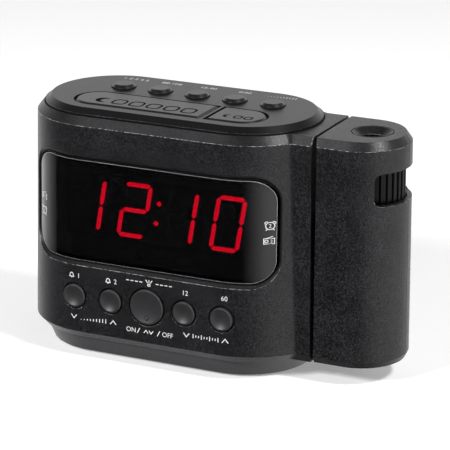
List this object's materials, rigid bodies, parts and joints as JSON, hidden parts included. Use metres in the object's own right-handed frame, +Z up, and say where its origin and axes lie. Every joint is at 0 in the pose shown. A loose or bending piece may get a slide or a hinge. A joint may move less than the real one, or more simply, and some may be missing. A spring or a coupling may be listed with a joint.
{
  "type": "projection alarm clock",
  "caption": "Bedside alarm clock with a wrap-around display window, round keys, raised key deck and a swivelling projector arm with a focus wheel.",
  "frame": {"origin": "on the table, under the middle of the clock's overall width and depth", "axes": "+X to the clock's right seen from the front, towards the projector arm; +Y to the rear; +Z up"},
  "size_m": [0.1724, 0.073, 0.1117],
  "materials": {
    "case_plastic": "black ABS, fine spark-eroded texture",
    "deck_plastic": "dark grey ABS, smooth satin",
    "base_plastic": "black ABS, smooth matt",
    "key_plastic": "black ABS, smooth satin",
    "smoked_window": "dark smoked acrylic, polished",
    "module_black": "black moulded epoxy",
    "red_segments": "red light-emitting segments",
    "board_laminate": "green solder mask on glass-fibre laminate",
    "switch_plastic": "black nylon",
    "tinned_steel": "tinned steel sheet",
    "capacitor_sleeve": "dark blue shrink sleeve",
    "speaker_paper": "black pressed paper",
    "magnet_ferrite": "sintered ferrite",
    "cell_jacket": null,
    "spring_steel": "nickel-plated spring steel",
    "screw_steel": "black zinc-plated steel",
    "foot_rubber": "soft black rubber",
    "pivot_plastic": "black acetal",
    "washer_nylon": "natural nylon",
    "clear_optics": "clear polished acrylic",
    "slide_glass": "small negative liquid-crystal cell",
    "led_body": "power LED with phosphor",
    "wheel_plastic": "black ABS, fine vertical ribs"
  },
  "bodies": {
    "case": {"housing": "case_plastic", "display_window": "smoked_window", "deck_cover": "deck_plastic", "base_cover": "base_plastic", "battery_cells": "cell_jacket", "battery_contacts": "spring_steel", "rubber_feet": "foot_rubber", "base_screws": "screw_steel", "display_board": "board_laminate", "led_module": "module_black", "digit_segments": "red_segments", "front_switches": "switch_plastic", "top_board": "board_laminate", "top_switches": "switch_plastic", "main_board": "board_laminate", "microcontroller": "module_black", "tuner_shield": "tinned_steel", "capacitors": "capacitor_sleeve", "board_screws": "screw_steel", "speaker_frame": "tinned_steel", "speaker_cone": "speaker_paper", "speaker_magnet": "magnet_ferrite", "dc_jack": "module_black", "antenna_gland": "foot_rubber"},
    "battery_door": {"battery_door": "base_plastic"},
    "arm": {"arm_front_shell": "case_plastic", "arm_rear_shell": "case_plastic", "arm_screws": "screw_steel", "pivot_tube": "pivot_plastic", "pivot_clip": "spring_steel", "pivot_washer": "washer_nylon", "cover_glass": "clear_optics", "slide_holder": "pivot_plastic", "time_slide": "slide_glass", "condenser_lens": "clear_optics", "lamp_board": "board_laminate", "lamp_led": "led_body"},
    "focus_wheel": {"focus_wheel": "wheel_plastic"},
    "lens_barrel": {"lens_barrel": "pivot_plastic", "focus_lens": "clear_optics"},
    "alarm_1_key": {"alarm_1_key": "key_plastic"},
    "alarm_2_key": {"alarm_2_key": "key_plastic"},
    "projection_key": {"projection_key": "key_plastic"},
    "hour_key": {"hour_key": "key_plastic"},
    "minute_key": {"minute_key": "key_plastic"},
    "memory_key": {"memory_key": "key_plastic"},
    "band_key": {"band_key": "key_plastic"},
    "timer_key": {"timer_key": "key_plastic"},
    "set_key": {"set_key": "key_plastic"},
    "dimmer_key": {"dimmer_key": "key_plastic"},
    "snooze_bar": {"snooze_bar": "key_plastic"},
    "sleep_bar": {"sleep_bar": "key_plastic"}
  },
  "joints": [
    {"name": "alarm_1_key_press", "type": "slide", "parent": "case", "child": "alarm_1_key", "axis": [0, 1, 0], "range_m": [0, 0.001], "stiffness_N_per_m": 600},
    {"name": "alarm_2_key_press", "type": "slide", "parent": "case", "child": "alarm_2_key", "axis": [0, 1, 0], "range_m": [0, 0.001], "stiffness_N_per_m": 600},
    {"name": "projection_key_press", "type": "slide", "parent": "case", "child": "projection_key", "axis": [0, 1, 0], "range_m": [0, 0.001], "stiffness_N_per_m": 600},
    {"name": "hour_key_press", "type": "slide", "parent": "case", "child": "hour_key", "axis": [0, 1, 0], "range_m": [0, 0.001], "stiffness_N_per_m": 600},
    {"name": "minute_key_press", "type": "slide", "parent": "case", "child": "minute_key", "axis": [0, 1, 0], "range_m": [0, 0.001], "stiffness_N_per_m": 600},
    {"name": "memory_key_press", "type": "slide", "parent": "case", "child": "memory_key", "axis": [0, 0, -1], "range_m": [0, 0.001], "stiffness_N_per_m": 600},
    {"name": "band_key_press", "type": "slide", "parent": "case", "child": "band_key", "axis": [0, 0, -1], "range_m": [0, 0.001], "stiffness_N_per_m": 600},
    {"name": "timer_key_press", "type": "slide", "parent": "case", "child": "timer_key", "axis": [0, 0, -1], "range_m": [0, 0.001], "stiffness_N_per_m": 600},
    {"name": "set_key_press", "type": "slide", "parent": "case", "child": "set_key", "axis": [0, 0, -1], "range_m": [0, 0.001], "stiffness_N_per_m": 600},
    {"name": "dimmer_key_press", "type": "slide", "parent": "case", "child": "dimmer_key", "axis": [0, 0, -1], "range_m": [0, 0.001], "stiffness_N_per_m": 600},
    {"name": "snooze_bar_press", "type": "slide", "parent": "case", "child": "snooze_bar", "axis": [0, 0, -1], "range_m": [0, 0.001], "stiffness_N_per_m": 600},
    {"name": "sleep_bar_press", "type": "slide", "parent": "case", "child": "sleep_bar", "axis": [0, 0, -1], "range_m": [0, 0.001], "stiffness_N_per_m": 600},
    {"name": "arm_swivel", "type": "hinge", "parent": "case", "child": "arm", "pos_m": [0.052, 0, 0.0579], "axis": [1, 0, 0], "range_deg": [-90, 90]},
    {"name": "focus_turn", "type": "hinge", "parent": "arm", "child": "focus_wheel", "pos_m": [0.06982, 0, 0.08655], "axis": [0, 0, 1], "range_deg": [-150, 150]},
    {"name": "barrel_travel", "type": "slide", "parent": "arm", "child": "lens_barrel", "axis": [0, 0, 1], "range_m": [-0.0015, 0.0015]},
    {"name": "door_slide", "type": "slide", "parent": "case", "child": "battery_door", "axis": [1, 0, 0], "range_m": [0, 0.004]}
  ],
  "couplings": [
    {"joint": "barrel_travel", "follows": "focus_turn", "m_per_rad": 0.00057295}
  ]
}
